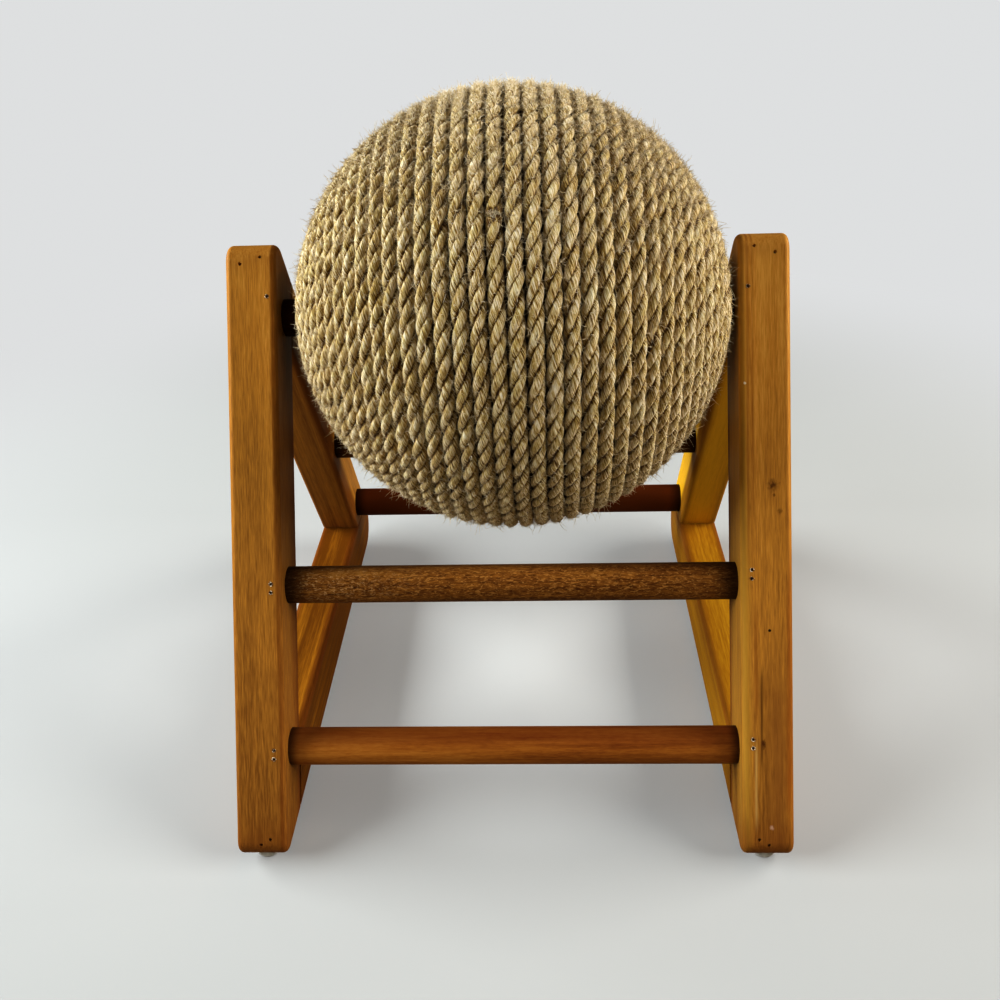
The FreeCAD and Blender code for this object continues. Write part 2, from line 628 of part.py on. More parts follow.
# Rope on the ball: one spiral from pole to pole, in two lengths that meet at the splice. Turn 0 is at the
# left pole. The first and the last turn are wider by the lead-in.
def polar_angle(turn):
    from_start = max(0, 1 - turn)
    from_end = max(0, 1 - (layout.turns - turn))
    shift = sheet.lead_in_width * (1 - from_start ** 2 + from_end ** 2)
    slope = 2 * sheet.lead_in_width * (from_start + from_end)
    angle = math.radians(layout.first_angle) + (layout.pitch * turn + shift) / layout.rope_line
    return angle, (layout.pitch + slope) / layout.rope_line / (2 * math.pi)


def spiral(turn):
    polar, polar_rate = polar_angle(turn)
    around = math.radians(sheet.splice_angle) + 2 * math.pi * (turn - layout.splice_turn)
    axial = -layout.rope_line * math.cos(polar)
    radius = layout.rope_line * math.sin(polar)
    radius_rate = layout.rope_line * math.cos(polar) * polar_rate
    point = Vector(axial, radius * math.cos(around), radius * math.sin(around))
    tangent = Vector(
        radius * polar_rate,
        radius_rate * math.cos(around) - radius * math.sin(around),
        radius_rate * math.sin(around) + radius * math.cos(around))
    return point, tangent.normalize()


# Two arcs that leave one point along its tangent and reach the next along its own
def biarc(start, start_tangent, end, end_tangent):
    chord = end - start
    both = start_tangent + end_tangent
    spread = 2 * (1 - start_tangent.dot(end_tangent))
    along = chord.dot(both)
    reach = (math.sqrt(along ** 2 + spread * chord.dot(chord)) - along) / spread
    first_corner = start + start_tangent * reach
    second_corner = end - end_tangent * reach
    joint = (first_corner + second_corner) / 2
    return [arc_by_corner(start, first_corner, joint), arc_by_corner(joint, second_corner, end)]


# Arc tangent to the two equal lines that meet in a corner
def arc_by_corner(start, corner, end):
    chord_middle = (start + end) / 2
    half_chord = (end - start).Length / 2
    leg = (corner - start).Length
    height = (corner - chord_middle).Length
    sagitta = half_chord * height / (leg + half_chord)
    middle = chord_middle + (corner - chord_middle).normalize() * sagitta
    return Part.Arc(start, middle, end).toShape()


# Straight end of the rope in its hole in the core, and the bend up to the first turn
def tucked_end(point, away, inward):
    opening = away.getAngle(inward)
    setback = sheet.bend_radius / math.tan(opening / 2)
    corner = point + away * setback
    bend_end = corner + inward * setback
    rope_end = bend_end + inward * sheet.rope_diameter
    return rope_end, bend_end, corner


# Path of one length of rope: its pole end dives into the core, and its other end runs straight to the
# splice
def rope_path(pole_turn, inward):
    towards_splice = 1 if layout.splice_turn > pole_turn else -1
    splice_run = sheet.rope_diameter / layout.rope_line / math.sin(math.radians(layout.splice_polar))
    last = layout.splice_turn - towards_splice * splice_run / (2 * math.pi)
    steps = math.ceil(2 * abs(last - pole_turn))
    stations = []
    for step in range(steps + 1):
        point, tangent = spiral(pole_turn + (last - pole_turn) * step / steps)
        stations.append((point, tangent * towards_splice))
    point, tangent = stations[0]
    rope_end, bend_end, corner = tucked_end(point, tangent * -1, inward)
    edges = [Part.LineSegment(rope_end, bend_end).toShape(), arc_by_corner(bend_end, corner, point)]
    for (start, start_tangent), (end, end_tangent) in zip(stations, stations[1:]):
        edges += biarc(start, start_tangent, end, end_tangent)
    point, tangent = stations[-1]
    splice_end = point + tangent * (sheet.rope_diameter - sheet.splice_gap / 2)
    edges.append(Part.LineSegment(point, splice_end).toShape())
    return edges


def distance_to_edge(point, edge):
    curve = edge.Curve
    low, high = edge.FirstParameter, edge.LastParameter
    at = curve.parameter(point)
    candidates = [low, high]
    candidates += [value for value in (at, at - 2 * math.pi, at + 2 * math.pi) if low <= value <= high]
    return min(point.distanceToPoint(curve.value(value)) for value in candidates)


# Least distance between stretches of the path that aren't neighbours, less the rope's own thickness
def least_gap(edges, samples=24):
    least = math.inf
    reach = 2 * sheet.rope_diameter
    for index, edge in enumerate(edges):
        points = edge.discretize(Number=samples)
        for other in edges[index + 2:]:
            box = other.BoundBox
            box.enlarge(reach)
            if box.intersect(edge.BoundBox):
                near = [point for point in points if box.isInside(point)]
                least = min([least] + [distance_to_edge(point, other) for point in near])
    return least - sheet.rope_diameter


def make_rope(label, pole_turn, inward):
    edges = rope_path(pole_turn, inward)
    path = Part.Wire(edges)
    start = edges[0].valueAt(edges[0].FirstParameter)
    heading = edges[0].tangentAt(edges[0].FirstParameter)
    section = Part.Wire(Part.makeCircle(layout.rope_radius, start, heading))
    rope = doc.addObject("Part::Feature", label)
    rope.Shape = path.makePipeShell([section], True, False)
    centre = Vector(layout.ball_x, layout.axle_y - layout.mid_depth, layout.axle_z + sheet.pad_height)
    rope.Placement = Placement(centre, Rotation())
    tube = math.pi * layout.rope_radius ** 2 * path.Length
    tightest = min(edge.Curve.Radius for edge in edges if isinstance(edge.Curve, Part.Circle))
    turns = abs(layout.splice_turn - pole_turn)
    fill = rope.Shape.Volume / tube
    print(f"{label}: {turns:.2f} turns, length {path.Length:.0f} mm, tightest bend {tightest:.2f} mm,"
          f" volume over tube {fill:.5f}, least gap to itself {least_gap(edges):.3f} mm")
    add_node(rope, label)


make_rope("left_rope", 0, Vector(1, 0, 0))
make_rope("right_rope", layout.turns, Vector(-1, 0, 0))

doc.recompute()

for item in doc.Objects:
    if "Invalid" in item.State or "Error" in item.State:
        raise RuntimeError(f"{item.Label} failed: {item.State}")
for node in nodes:
    if node.Shape.isNull() or not node.Shape.isValid() or not node.Shape.Solids:
        raise RuntimeError(f"{node.Label} has no valid solid")

os.makedirs("parts", exist_ok=True)
for node in nodes:
    node.Shape.exportStep(f"parts/{node.Label}.step")
print(f"{len(nodes)} nodes written")
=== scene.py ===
import json
import math
import random

import bmesh
import bpy
from mathutils import Euler, Matrix, Vector, noise


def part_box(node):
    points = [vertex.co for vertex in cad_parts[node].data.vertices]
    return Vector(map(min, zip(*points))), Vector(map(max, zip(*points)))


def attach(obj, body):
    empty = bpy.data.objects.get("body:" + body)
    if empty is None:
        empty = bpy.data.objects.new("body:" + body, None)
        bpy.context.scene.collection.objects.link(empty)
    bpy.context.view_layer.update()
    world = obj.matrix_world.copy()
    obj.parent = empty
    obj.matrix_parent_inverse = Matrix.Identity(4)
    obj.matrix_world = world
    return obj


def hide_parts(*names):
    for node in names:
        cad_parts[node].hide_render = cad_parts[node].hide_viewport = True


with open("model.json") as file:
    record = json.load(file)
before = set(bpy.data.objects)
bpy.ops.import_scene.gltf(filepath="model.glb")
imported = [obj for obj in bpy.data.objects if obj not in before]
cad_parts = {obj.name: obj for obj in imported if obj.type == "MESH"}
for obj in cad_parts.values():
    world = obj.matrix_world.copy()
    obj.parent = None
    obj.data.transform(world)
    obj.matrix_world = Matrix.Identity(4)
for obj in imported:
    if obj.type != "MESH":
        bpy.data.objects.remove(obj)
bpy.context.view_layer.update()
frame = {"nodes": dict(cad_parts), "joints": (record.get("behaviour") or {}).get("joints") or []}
nodes = frame["nodes"]
ballCentre = Vector(frame["joints"][0]["pos_m"])
scene = bpy.context.scene
print("frame loaded:", len(nodes), "nodes")


# node helpers

def newMaterial(name):
    material = bpy.data.materials.new(name)
    material.use_nodes = True
    tree = material.node_tree
    return material, tree, tree.nodes["Principled BSDF"]


def isSocket(value):
    return isinstance(value, bpy.types.NodeSocket)


# feeds gives an input either a link or a plain value
def addNode(tree, kind, feeds=None, **settings):
    node = tree.nodes.new("ShaderNode" + kind)
    for key, value in settings.items():
        setattr(node, key, value)
    for socket, value in (feeds or {}).items():
        if isSocket(value):
            tree.links.new(value, node.inputs[socket])
        else:
            node.inputs[socket].default_value = value
    return node


def objectPlace(tree):
    return addNode(tree, "TexCoord").outputs["Object"]


def splitAxes(tree, vector):
    return addNode(tree, "SeparateXYZ", {0: vector}).outputs


def mathNode(tree, operation, *values):
    return addNode(tree, "Math", dict(enumerate(values)), operation=operation).outputs[0]


def vectorNode(tree, operation, *values):
    node = addNode(tree, "VectorMath", dict(enumerate(values)), operation=operation)
    return node.outputs["Value" if operation in ("DOT_PRODUCT", "LENGTH") else "Vector"]


# the scales are per metre, one for each axis or one for all three
def noiseNode(tree, vector, scales, detail=3.0, roughness=0.55, distortion=0.0):
    if not isinstance(scales, tuple):
        scales = (scales,) * 3
    feeds = {"Vector": vectorNode(tree, "MULTIPLY", vector, scales), "Scale": 1.0, "Detail": detail,
             "Roughness": roughness, "Distortion": distortion}
    return addNode(tree, "TexNoise", feeds).outputs[0]


def remap(tree, value, low, high, newLow=0.0, newHigh=1.0):
    feeds = {"Value": value, "From Min": low, "From Max": high, "To Min": newLow, "To Max": newHigh}
    return addNode(tree, "MapRange", feeds, interpolation_type="SMOOTHSTEP").outputs[0]


def ramp(tree, value, stops):
    node = addNode(tree, "ValToRGB", {"Fac": value})
    elements = node.color_ramp.elements
    while len(elements) < len(stops):
        elements.new(1.0)
    for element, (place, colour) in zip(elements, stops):
        element.position = place
        element.color = (*colour, 1)
    return node.outputs["Color"]


def withAlpha(colour):
    return colour if isSocket(colour) else (*colour, 1)


# a mix node's colours are its inputs 6 and 7 and its output 2
def mixColour(tree, factor, first, second, blend="MIX"):
    feeds = {0: factor, 6: withAlpha(first), 7: withAlpha(second)}
    return addNode(tree, "Mix", feeds, data_type="RGBA", blend_type=blend).outputs[2]


def bump(tree, shader, height, strength, distance):
    feeds = {"Height": height, "Strength": strength, "Distance": distance}
    tree.links.new(addNode(tree, "Bump", feeds).outputs[0], shader.inputs["Normal"])


def setSockets(shader, values):
    for name, value in values.items():
        shader.inputs[name].default_value = value


def paint(node, material):
    for slot in nodes[node].material_slots:
        slot.material = material


# varnished wood

honeyTones = [(0.2, (0.23, 0.092, 0.015)), (0.42, (0.4, 0.181, 0.03)),
              (0.58, (0.53, 0.249, 0.04)), (0.8, (0.67, 0.362, 0.08))]
orangeTones = [(0.2, (0.29, 0.122, 0.006)), (0.5, (0.52, 0.28, 0.018)), (0.8, (0.71, 0.44, 0.04))]
# paler wood, partly painted light for a leg that gets little light
goldTonesWithPaintedLight = [(0.2, (0.335, 0.14, 0.006)), (0.5, (0.61, 0.31, 0.012)), (0.8, (0.8, 0.465, 0.027))]
russetTones = [(0.15, (0.16, 0.055, 0.004)), (0.4, (0.3, 0.122, 0.009)),
               (0.6, (0.46, 0.21, 0.02)), (0.85, (0.62, 0.32, 0.04))]
amberTones = [(0.2, (0.14, 0.034, 0.006)), (0.42, (0.28, 0.092, 0.014)),
              (0.58, (0.38, 0.142, 0.021)), (0.8, (0.5, 0.22, 0.04))]
umberTones = [(0.2, (0.045, 0.013, 0.003)), (0.42, (0.16, 0.058, 0.01)),
              (0.58, (0.28, 0.118, 0.02)), (0.8, (0.46, 0.24, 0.06))]

# patches, streaks, lines, flecks and fibres per metre across, across and along the grain
plankGrain = ((34, 34, 3), (170, 170, 6), (560, 560, 14), (1300, 1300, 95), (2300, 2300, 130))
dowelGrain = ((60, 60, 6), (210, 210, 12), (620, 620, 34), (1250, 1250, 240), (2600, 2600, 110))

wood = dict(
    swirl=0.3,               # how far the grain is distorted
    drift=0.006,             # how far the patches bend a band
    bandFull=0.5,            # share of a band's half length before it fades
    bandBreaks=(0.25, 0.6, 0.4, 1.0),    # streaks that thin a band: their range, and what is left of it
    raggedScale=(800, 800, 500),
    chipSwirl=1.0,
    glossSwing=0.2,          # how far the streaks change the roughness
    specular=0.05,
    fleckRelief=0.7,         # height of the flecks beside that of the fibres
    relief=0.22,
    reliefDepth=0.00025,
)


# darker or lighter lines that run with the grain, bent a little by the patches
def addBands(tree, colour, look, field):
    drift = mathNode(tree, "MULTIPLY_ADD", field["layers"][0], wood["drift"], field["axes"][0])
    for band in look.get("bands", []):
        start, end = band["span"]
        half = (end - start) / 2
        off = mathNode(tree, "ABSOLUTE", mathNode(tree, "SUBTRACT", drift, band["x"] + wood["drift"] / 2))
        mask = mathNode(tree, "MULTIPLY", remap(tree, off, band["width"], 0.0), band["depth"])
        along = mathNode(tree, "ABSOLUTE", mathNode(tree, "SUBTRACT", field["axes"][2], (start + end) / 2))
        mask = mathNode(tree, "MULTIPLY", mask, remap(tree, along, half, half * wood["bandFull"]))
        mask = mathNode(tree, "MULTIPLY", mask, remap(tree, field["layers"][1], *wood["bandBreaks"]))
        colour = mixColour(tree, mask, colour, band["colour"])
    return colour


# knots and stray nail holes on one face of the bar
def addMarks(tree, colour, look, field):
    axes = field["axes"]
    unturn = Euler(look["turn"]).to_matrix().transposed()
    ragged = noiseNode(tree, field["seeded"], wood["raggedScale"], roughness=0.6)
    ragged = mathNode(tree, "SUBTRACT", ragged, 0.5)
    for mark in look.get("marks", []):
        spot = unturn @ (Vector(mark["at"]) - look["centre"])
        across = mathNode(tree, "DIVIDE", mathNode(tree, "SUBTRACT", axes[0], spot.x), mark["size"])
        along = mathNode(tree, "SUBTRACT", axes[2], spot.z)
        along = mathNode(tree, "DIVIDE", along, mark["size"] * mark["long"])
        far = mathNode(tree, "MULTIPLY_ADD", across, across, mathNode(tree, "MULTIPLY", along, along))
        far = mathNode(tree, "MULTIPLY_ADD", ragged, mark["ragged"], mathNode(tree, "SQRT", far))
        mask = mathNode(tree, "MULTIPLY", remap(tree, far, 1.0, mark["core"]), mark["depth"])
        face = mathNode(tree, "MULTIPLY", axes[1], math.copysign(1, spot.y))
        mask = mathNode(tree, "MULTIPLY", mask, mathNode(tree, "GREATER_THAN", face, 0.0))
        colour = mixColour(tree, mask, colour, mark["colour"])
    return colour


# short pale dashes in the open pores
def addFlecks(tree, colour, look, field):
    for fleck in look.get("flecks", []):
        chips = noiseNode(tree, field["seeded"], fleck["scale"], detail=2.0, roughness=0.5,
                          distortion=wood["chipSwirl"])
        depth = remap(tree, field["axes"][2], *fleck["span"], 0.0, fleck["depth"])
        mask = mathNode(tree, "MULTIPLY", remap(tree, chips, *fleck["cut"]), depth)
        colour = mixColour(tree, mask, colour, fleck["colour"])
    return colour


# painted shade on the faces of a bar that lie in shade, and on a dowel's side away from the light
def addShades(tree, colour, look, field):
    for shade in look["shades"]:
        facing = vectorNode(tree, "DOT_PRODUCT", field["local"], shade["facing"])
        depth = remap(tree, field["axes"][2], *shade["span"], *shade["depth"])
        mask = mathNode(tree, "MULTIPLY", remap(tree, facing, *shade["reach"]), depth)
        colour = mixColour(tree, mask, colour, shade["colour"])
    return colour


# the stain is deeper along rounded edges and at the ends, and at a dowel's ends, where it goes into a leg,
# painted shade darkens it too
def addStain(tree, colour, look, field):
    edge = look["edge"]
    for axis, half in zip(field["axes"], look["half"]):
        near = remap(tree, mathNode(tree, "ABSOLUTE", axis), half - look["edgeWidth"], half)
        edge = mathNode(tree, "MULTIPLY", near, edge)
    colour = mixColour(tree, edge, colour, look["stain"])
    along = mathNode(tree, "ABSOLUTE", field["axes"][2])
    ends = remap(tree, along, look["reach"] - look["endWidth"], look["reach"])
    return mixColour(tree, mathNode(tree, "MULTIPLY", ends, look["ends"]), colour, look["stain"])


def woodMaterial(name, look):
    material, tree, shader = newMaterial(name)
    feeds = {"Vector": objectPlace(tree), "Location": look["centre"], "Rotation": look["turn"]}
    local = addNode(tree, "Mapping", feeds, vector_type="TEXTURE").outputs[0]
    axes = splitAxes(tree, local)
    seeded = vectorNode(tree, "ADD", local, look["seed"])
    layers = [noiseNode(tree, seeded, scales, distortion=wood["swirl"]) for scales in look["grain"]]
    field = dict(local=local, axes=axes, seeded=seeded, layers=layers)
    tone = mathNode(tree, "MULTIPLY_ADD", axes[2], look["fade"], 0.5 + look["lift"] - sum(look["mix"]) / 2)
    for layer, share in zip(layers, look["mix"]):
        tone = mathNode(tree, "MULTIPLY_ADD", layer, share, tone)
    colour = ramp(tree, tone, look["tones"])
    for addDetail in (addBands, addMarks, addFlecks, addShades, addStain):
        colour = addDetail(tree, colour, look, field)
    tree.links.new(colour, shader.inputs["Base Color"])
    smoothest = look["roughness"] - wood["glossSwing"] / 2
    gloss = mathNode(tree, "MULTIPLY_ADD", layers[1], wood["glossSwing"], smoothest)
    tree.links.new(gloss, shader.inputs["Roughness"])
    setSockets(shader, {"Specular IOR Level": wood["specular"]})
    pores = mathNode(tree, "MULTIPLY_ADD", layers[3], wood["fleckRelief"], layers[4])
    bump(tree, shader, pores, wood["relief"], wood["reliefDepth"])
    return material


# bars: distances are in metres from a bar's middle, and the grain runs along its own z

darkKnot = (0.09, 0.026, 0.004)
# the dark of a nail hole, and painted shadow beside the axle
holeAndShadeBlack = (0.012, 0.006, 0.003)
# red lines in the grain, and painted shade on the right base rail's inner face
redGrainAndShade = (0.24, 0.07, 0.008)
# painted shade for the inner faces, which the ball and the bars shade
innerPaintedShade = (0.085, 0.02, 0.005)
# painted shade that tones down the outer faces, which the side lights make bright
outerPaintedShade = (0.21, 0.082, 0.014)


# painted shade on the side towards way, -1 or 1, whose depth changes over the span
def sideShade(way, colour, depth, span=(-1, 1), reach=(0.0115, 0.013)):
    return dict(facing=(way, 0, 0), colour=colour, depth=depth, span=span, reach=reach)


# at is in the frame of the whole object, and long draws the mark out along the grain
def woodMark(at, size, long, core, depth, colour=darkKnot, ragged=1.6):
    return dict(at=at, size=size, long=long, core=core, depth=depth, colour=colour, ragged=ragged)


# mix is each grain layer's share, lift makes a bar paler and fade makes its upper or rear end paler
barLooks = {
    "left_front_leg": dict(
        mix=(0.3, 0.12, 0.22, 0.55, 0.35), lift=-0.065, fade=1.1, seed=(0.3, 0.1, 0.2),
        # painted shade on the inner face, deepest up by the ball
        shades=[sideShade(1, innerPaintedShade, (0.05, 0.4), span=(-0.08, 0.03)),
                # painted shadow beside the axle, on the inner face
                sideShade(1, holeAndShadeBlack, (0.0, 0.35), span=(0.03, 0.09))],
        bands=[dict(x=0.0117, width=0.0016, span=(-0.3, 0.3), depth=0.5, colour=redGrainAndShade)]),
    "right_front_leg": dict(
        mix=(0.4, 0.4, 0.35, 0.5, 0.3), lift=0.02, fade=1.7, seed=(1.3, 0.7, 0.6),
        # painted shade on the inner face, deepest at the bottom
        shades=[sideShade(-1, innerPaintedShade, (0.22, 0.0), span=(-0.08, 0.03))],
        # the first band is a pale strip along the inner rounded edge: partly the wood's tone, partly a
        # painted highlight
        bands=[dict(x=-0.0115, width=0.0045, span=(-0.21, 0.19), depth=0.75, colour=(0.56, 0.32, 0.05)),
               dict(x=-0.0091, width=0.0012, span=(-0.04, 0.24), depth=0.65, colour=redGrainAndShade),
               dict(x=-0.0068, width=0.001, span=(-0.01, 0.24), depth=0.5, colour=redGrainAndShade),
               dict(x=-0.0056, width=0.0016, span=(-0.1, -0.03), depth=0.55, colour=redGrainAndShade),
               dict(x=-0.0026, width=0.0015, span=(-0.125, -0.062), depth=0.8, colour=darkKnot),
               dict(x=0.0055, width=0.0085, span=(-0.26, -0.05), depth=0.65, colour=(0.26, 0.1, 0.02)),
               dict(x=-0.006, width=0.0014, span=(-0.155, -0.1), depth=0.4, colour=(0.7, 0.48, 0.18)),
               dict(x=0.0118, width=0.0028, span=(-0.16, 0.0), depth=0.6, colour=(0.36, 0.1, 0.01))],
        marks=[woodMark((0.1367, -0.0645, 0.1767), size=0.0042, long=1.1, core=0.0, depth=0.6),
               woodMark((0.1365, -0.0645, 0.1767), size=0.0015, long=1.4, core=0.2, depth=0.7),
               woodMark((0.1371, -0.0671, 0.1722), size=0.001, long=1.2, core=0.3, depth=0.6),
               woodMark((0.14, -0.0712, 0.165), size=0.0018, long=1.2, core=0.1, depth=0.45),
               woodMark((0.1308, -0.1317, 0.0604), size=0.0016, long=1.9, core=0.2, depth=0.9),
               woodMark((0.1343, -0.1021, 0.1116), size=0.0009, long=1.0, core=0.6, depth=1.0,
                        colour=holeAndShadeBlack, ragged=0.4),
               woodMark((0.1227, -0.0382, 0.2222), size=0.0008, long=1.0, core=0.5, depth=0.9,
                        colour=(0.85, 0.78, 0.62)),
               woodMark((0.1347, -0.1535, 0.0226), size=0.0015, long=1.1, core=0.2, depth=0.75,
                        colour=(0.6, 0.38, 0.26))]),
    "left_rear_leg": dict(
        mix=(0.4, 0.6, 0.4, 0.3, 0.2), lift=-0.05, fade=0.0, seed=(2.1, 0.4, 0.9)),
    # paler tones and lift, partly painted light
    "right_rear_leg": dict(
        mix=(0.35, 0.35, 0.2, 0.3, 0.2), lift=0.2, fade=0.0, seed=(3.2, 1.1, 0.1), tones=goldTonesWithPaintedLight),
    "left_base_rail": dict(
        mix=(0.4, 1.0, 0.5, 0.3, 0.2), lift=-0.31, fade=-0.7, seed=(4.4, 0.2, 0.5), tones=russetTones,
        # painted shade on the rail's inner face
        shades=[sideShade(1, innerPaintedShade, (0.06, 0.06))]),
    "right_base_rail": dict(
        mix=(0.4, 0.4, 0.25, 0.3, 0.2), lift=-0.2, fade=-0.4, seed=(5.1, 1.7, 0.8), tones=orangeTones,
        # painted shade on the rail's inner face
        shades=[sideShade(-1, redGrainAndShade, (0.15, 0.15))]),
}
barFinish = dict(grain=plankGrain, roughness=0.45, edge=0.75, edgeWidth=0.006,
                 ends=0.5, endWidth=0.03, stain=(0.19, 0.055, 0.008))
barWidth = 0.035
barTurns = {"front_leg": -30, "rear_leg": 30, "base_rail": -90}    # brings z onto the bar
outerPaintedShadeLook = dict(colour=outerPaintedShade, depth=(0.6, 0.6), reach=(0.0118, 0.0131))
for node, look in barLooks.items():
    side, bar = node.split("_", 1)
    low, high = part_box(node)
    turn = math.radians(barTurns[bar])
    reach = abs(math.cos(turn)) * (high.z - low.z) / 2 + abs(math.sin(turn)) * (high.y - low.y) / 2
    # painted shade on the bar's outer face
    outer = sideShade(-1 if side == "left" else 1, **outerPaintedShadeLook)
    look.setdefault("tones", honeyTones)
    look.update(barFinish, centre=(low + high) / 2, turn=(turn, 0, 0), reach=reach,
                half=((high.x - low.x) / 2, barWidth / 2), shades=look.get("shades", []) + [outer])
    paint(node, woodMaterial(node + "_wood", look))

# rungs and axle: all but the pale side, given in a dowel's own axes, has painted shade in a deeper tone

paintedShadeRed = (0.11, 0.022, 0.004)
paintedShadeBrown = (0.045, 0.013, 0.004)
rungLooks = {
    "front_lower_rung": dict(
        mix=(0.4, 0.6, 0.4, 0.35, 0.2), lift=0.08, fade=-0.8, seed=(0.2, 0.6, 0.4),
        tones=amberTones, sunk=paintedShadeRed, sunkDepth=0.66, paleSide=(0.35, -0.937, 0),
        ends=0.85, endWidth=0.007),
    "front_upper_rung": dict(
        mix=(0.4, 0.3, 0.3, 0.7, 0.2), lift=-0.05, fade=-0.4, seed=(1.1, 0.3, 0.7),
        tones=umberTones, sunk=paintedShadeBrown, sunkDepth=0.66, paleSide=(-0.3, -0.954, 0), endWidth=0.014,
        flecks=[dict(scale=(1250, 1250, 480), cut=(0.53, 0.66), span=(-0.03, -0.1), depth=0.6,
                     colour=(0.56, 0.36, 0.16)),
                dict(scale=(1300, 1300, 400), cut=(0.52, 0.64), span=(-0.14, -0.06), depth=0.6,
                     colour=(0.47, 0.24, 0.06))]),
    "rear_lower_rung": dict(
        mix=(0.3, 0.3, 0.3, 0.4, 0.2), lift=-0.42, fade=0.0, seed=(2.6, 0.8, 0.2),
        tones=amberTones, sunk=paintedShadeRed),
    "rear_upper_rung": dict(
        mix=(0.3, 0.3, 0.3, 0.5, 0.2), lift=-0.12, fade=0.0, seed=(3.7, 0.5, 0.3),
        tones=umberTones, sunk=paintedShadeBrown),
    # dark tone, partly painted shade for an axle that lies in shadow
    "axle_dowel": dict(
        mix=(0.3, 0.3, 0.3, 0.3, 0.2), lift=-0.3, fade=0.0, seed=(4.3, 0.9, 0.1),
        tones=umberTones, sunk=paintedShadeBrown),
}
rungRadius = 0.010
socketDepth = 0.0105
paintedShadeReach = (0.0085, -0.001)
# at a dowel's ends, stain and painted shade where it goes into the leg
rungFinish = dict(grain=dowelGrain, turn=(0, math.radians(90), 0), half=(rungRadius, rungRadius),
                  roughness=0.42, edge=0.0, edgeWidth=0.004, ends=0.9, endWidth=0.01,
                  stain=(0.02, 0.005, 0.002), sunkDepth=0.7, paleSide=(-0.2, -0.98, 0))
for node, ownLook in rungLooks.items():
    look = {**rungFinish, **ownLook}
    low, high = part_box(node)
    # painted shade on all but the pale side of the dowel
    back = dict(facing=look["paleSide"], colour=look["sunk"], depth=(look["sunkDepth"],) * 2,
                span=(-1, 1), reach=paintedShadeReach)
    look.update(centre=(low + high) / 2, reach=(high.x - low.x) / 2 - socketDepth, shades=[back])
    paint(node, woodMaterial(node + "_wood", look))
print("wood painted:", len(barLooks) + len(rungLooks), "pieces")


# steel, rubber and moulded parts

plainLooks = {
    "brad_steel": dict(
        patch=900, grit=5000, tones=[(0.3, (0.03, 0.022, 0.016)), (0.7, (0.16, 0.145, 0.13))],
        roughness=(0.6, 0.42), metal=1.0, relief=0.2,
        nodes=("front_rung_pins", "rear_rung_pins", "axle_pins", "pad_nails")),
    "brad_filler": dict(
        patch=700, grit=3000, tones=[(0.35, (0.06, 0.02, 0.006)), (0.65, (0.24, 0.09, 0.02))],
        roughness=(0.7, 0.5), metal=0.0, relief=0.2,
        nodes=("apex_brads", "toe_brads", "heel_brads")),
    "pad_rubber": dict(
        patch=250, grit=3500, tones=[(0.3, (0.48, 0.45, 0.41)), (0.7, (0.62, 0.585, 0.54))],
        roughness=(0.85, 0.7), metal=0.0, relief=0.35,
        nodes=("front_left_pad", "front_right_pad", "rear_left_pad", "rear_right_pad")),
    "core_plastic": dict(
        patch=120, grit=2600, tones=[(0.3, (0.09, 0.05, 0.02)), (0.7, (0.14, 0.085, 0.036))],
        roughness=(0.75, 0.6), metal=0.0, relief=0.25,
        nodes=("left_core_half", "right_core_half")),
    "bush_nylon": dict(
        patch=180, grit=3000, tones=[(0.3, (0.62, 0.58, 0.48)), (0.7, (0.74, 0.7, 0.6))],
        roughness=(0.5, 0.4), metal=0.0, relief=0.15,
        nodes=("left_hub_bush", "right_hub_bush")),
}
patchRange = (0.3, 0.7)      # of the noise that changes the roughness
gritDepth = 0.0002


def plainMaterial(name, look):
    material, tree, shader = newMaterial(name)
    place = objectPlace(tree)
    patches = noiseNode(tree, place, look["patch"], roughness=0.6)
    grit = noiseNode(tree, place, look["grit"], detail=2.0, roughness=0.5)
    tree.links.new(ramp(tree, patches, look["tones"]), shader.inputs["Base Color"])
    tree.links.new(remap(tree, patches, *patchRange, *look["roughness"]), shader.inputs["Roughness"])
    setSockets(shader, {"Metallic": look["metal"]})
    bump(tree, shader, grit, look["relief"], gritDepth)
    return material


for name, look in plainLooks.items():
    material = plainMaterial(name, look)
    for node in look["nodes"]:
        paint(node, material)
print("steel, rubber and moulded parts painted")


# rope: the route of each length, three strands laid round it, and loose fibres

rope = dict(
    ballRadius=0.1155,
    thickness=0.0076,
    turnGap=0.00055,
    leadIn=0.0016,           # extra width of the first and last turn
    flangeGap=0.0006,
    bendRadius=0.008,        # where the rope dives into the core
    bedding=0.0006,          # how far the rope is pressed into its bed
    spliceOffset=-0.0048,
    spliceAngle=138,
    spliceGap=0.0009,
    pointsPerTurn=24,
    stepsPerPoint=8,
    wander=0.0007,           # sideways wander of the turns
    wanderScale=3.1,
    strands=3,
    strandRadius=0.0021,
    strandRoundness=3,
    strandStep=0.0018,
    lay=0.031,               # length of one turn of the strands
    layRadius=0.00198,       # from the rope's middle to each strand's
    wobble=0.5,              # uneven turning of the strands, in radians
    wobbleScale=22,
    lumps=0.13,              # uneven thickness of the strands
    lumpScale=90,
    lumpSeed=7,
    rubbed=dict(facing=(0, 0.1, 0.995), least=(0.3, 0.97)),     # the side where crown fibres grow and the grooves' painted shade is weaker
)
rope["line"] = rope["ballRadius"] - rope["thickness"] / 2
rope["pitch"] = rope["thickness"] + rope["turnGap"]
flangeLow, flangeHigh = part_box("left_hub_bush")
rope["firstTurn"] = (flangeHigh.z - flangeLow.z) / 2 + rope["flangeGap"] + rope["thickness"] / 2
rope["firstAngle"] = math.asin(rope["firstTurn"] / rope["line"])
rope["splicePolar"] = math.acos(-rope["spliceOffset"] / rope["line"])
poleToPole = (math.pi - 2 * rope["firstAngle"]) * rope["line"]
